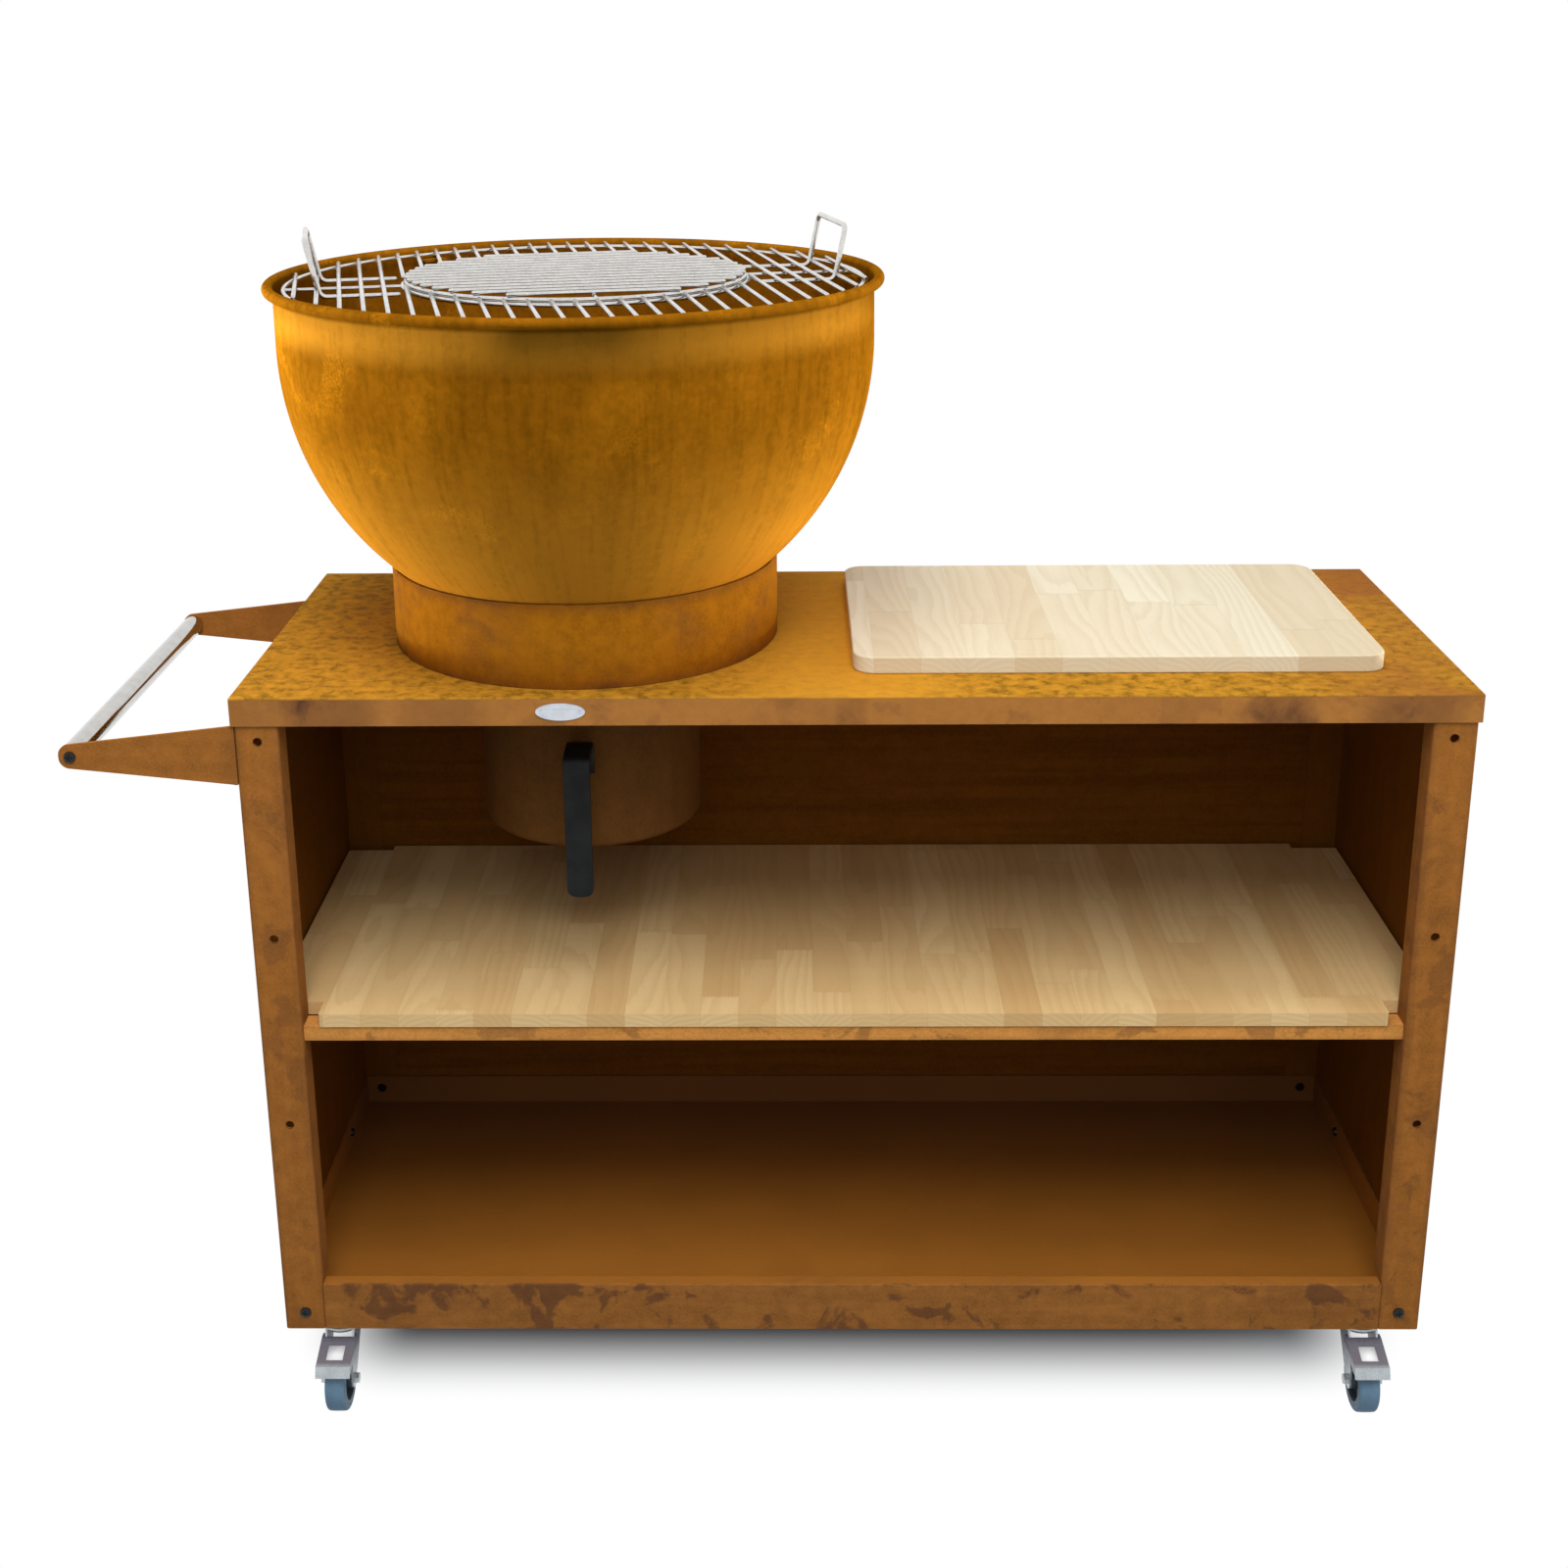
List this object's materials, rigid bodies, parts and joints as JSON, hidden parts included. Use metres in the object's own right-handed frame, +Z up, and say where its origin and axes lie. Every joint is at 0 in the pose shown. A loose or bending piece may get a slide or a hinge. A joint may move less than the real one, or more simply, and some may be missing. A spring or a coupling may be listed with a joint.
{
  "type": "outdoor kitchen unit",
  "caption": "Wheeled outdoor kitchen: steel cabinet with open shelves and worktop, fire bowl with cooking grates on a collar, ash bucket below, cutting board and push handle.",
  "frame": {"origin": "on the floor, below the middle of the overall box", "axes": "+X to the right seen from the front, +Y to the back, +Z up; the open front faces -Y"},
  "size_m": [1.541, 0.6959, 1.3793],
  "materials": {
    "patina_steel": "matt weathering-steel patina",
    "shelf_wood": "oiled, finger-jointed strips",
    "board_wood": "sanded, edge-glued strips",
    "polished_steel": "polished",
    "wire_steel": "bright drawn wire",
    "grate_iron": "bare casting",
    "black_steel": "black coated",
    "badge_metal": "brushed, blank",
    "zinc_steel": "zinc plated",
    "wheel_plastic": "moulded",
    "tyre_rubber": "grey-blue solid rubber"
  },
  "bodies": {
    "cabinet": {"worktop": "patina_steel", "front_left_post": "patina_steel", "front_right_post": "patina_steel", "rear_left_post": "patina_steel", "rear_right_post": "patina_steel", "left_side_panel": "patina_steel", "right_side_panel": "patina_steel", "back_panel": "patina_steel", "bottom_tray": "patina_steel", "tray_lips": "patina_steel", "shelf_front_rail": "patina_steel", "shelf_rear_rail": "patina_steel", "shelf_board": "shelf_wood", "bowl_collar": "patina_steel", "handle_bracket_front": "patina_steel", "handle_bracket_rear": "patina_steel", "handle_tube": "polished_steel", "handle_screws": "black_steel", "handle_bracket_bolts": "black_steel", "badge_plate": "badge_metal", "badge_rivets": "badge_metal", "bucket_rail_left": "patina_steel", "bucket_rail_right": "patina_steel", "post_screws": "black_steel", "back_panel_screws": "black_steel", "shelf_rail_screws": "black_steel", "tray_bolts": "black_steel", "caster_plates": "zinc_steel", "caster_bolts": "zinc_steel"},
    "bowl": {"fire_bowl": "patina_steel", "ash_chute": "patina_steel", "grate_lugs": "patina_steel", "fire_grate": "grate_iron"},
    "main_grate": {"main_grate_bars": "wire_steel", "main_grate_rings": "wire_steel", "main_grate_handles": "wire_steel"},
    "centre_grate": {"centre_grate_bars": "wire_steel", "centre_grate_ring": "wire_steel"},
    "bucket": {"ash_bucket": "patina_steel", "bucket_grip": "black_steel", "grip_screws": "black_steel"},
    "board": {"cutting_board": "board_wood"},
    "caster_front_left": {"caster_fork_front_left": "zinc_steel", "caster_axle_front_left": "zinc_steel"},
    "wheel_front_left": {"wheel_centre_front_left": "wheel_plastic", "tyre_front_left": "tyre_rubber"},
    "pedal_front_left": {"brake_pedal_front_left": "zinc_steel"},
    "caster_front_right": {"caster_fork_front_right": "zinc_steel", "caster_axle_front_right": "zinc_steel"},
    "wheel_front_right": {"wheel_centre_front_right": "wheel_plastic", "tyre_front_right": "tyre_rubber"},
    "pedal_front_right": {"brake_pedal_front_right": "zinc_steel"},
    "caster_rear_left": {"caster_fork_rear_left": "zinc_steel", "caster_axle_rear_left": "zinc_steel"},
    "wheel_rear_left": {"wheel_centre_rear_left": "wheel_plastic", "tyre_rear_left": "tyre_rubber"},
    "caster_rear_right": {"caster_fork_rear_right": "zinc_steel", "caster_axle_rear_right": "zinc_steel"},
    "wheel_rear_right": {"wheel_centre_rear_right": "wheel_plastic", "tyre_rear_right": "tyre_rubber"}
  },
  "joints": [
    {"name": "bowl_lift", "type": "slide", "parent": "cabinet", "child": "bowl", "axis": [0, 0, 1], "range_m": [0, 0.15]},
    {"name": "main_grate_lift", "type": "slide", "parent": "bowl", "child": "main_grate", "axis": [0, 0, 1], "range_m": [0, 0.15]},
    {"name": "centre_grate_lift", "type": "slide", "parent": "main_grate", "child": "centre_grate", "axis": [0, 0, 1], "range_m": [0, 0.1]},
    {"name": "bucket_pull", "type": "slide", "parent": "cabinet", "child": "bucket", "axis": [0, -1, 0], "range_m": [0, 0.3]},
    {"name": "board_lift", "type": "slide", "parent": "cabinet", "child": "board", "axis": [0, 0, 1], "range_m": [0, 0.15]},
    {"name": "swivel_front_left", "type": "hinge", "parent": "cabinet", "child": "caster_front_left", "pos_m": [-0.5165, -0.209, 0.097], "axis": [0, 0, 1], "continuous": true},
    {"name": "roll_front_left", "type": "hinge", "parent": "caster_front_left", "child": "wheel_front_left", "pos_m": [-0.5165, -0.245, 0.0375], "axis": [1, 0, 0], "continuous": true},
    {"name": "brake_front_left", "type": "hinge", "parent": "caster_front_left", "child": "pedal_front_left", "pos_m": [-0.5165, -0.231, 0.082], "axis": [1, 0, 0], "range_deg": [0, 10]},
    {"name": "swivel_front_right", "type": "hinge", "parent": "cabinet", "child": "caster_front_right", "pos_m": [0.7075, -0.209, 0.097], "axis": [0, 0, 1], "continuous": true},
    {"name": "roll_front_right", "type": "hinge", "parent": "caster_front_right", "child": "wheel_front_right", "pos_m": [0.7075, -0.245, 0.0375], "axis": [1, 0, 0], "continuous": true},
    {"name": "brake_front_right", "type": "hinge", "parent": "caster_front_right", "child": "pedal_front_right", "pos_m": [0.7075, -0.231, 0.082], "axis": [1, 0, 0], "range_deg": [0, 10]},
    {"name": "swivel_rear_left", "type": "hinge", "parent": "cabinet", "child": "caster_rear_left", "pos_m": [-0.5165, 0.209, 0.097], "axis": [0, 0, 1], "continuous": true},
    {"name": "roll_rear_left", "type": "hinge", "parent": "caster_rear_left", "child": "wheel_rear_left", "pos_m": [-0.5165, 0.173, 0.0375], "axis": [1, 0, 0], "continuous": true},
    {"name": "swivel_rear_right", "type": "hinge", "parent": "cabinet", "child": "caster_rear_right", "pos_m": [0.7075, 0.209, 0.097], "axis": [0, 0, 1], "continuous": true},
    {"name": "roll_rear_right", "type": "hinge", "parent": "caster_rear_right", "child": "wheel_rear_right", "pos_m": [0.7075, 0.173, 0.0375], "axis": [1, 0, 0], "continuous": true}
  ]
}
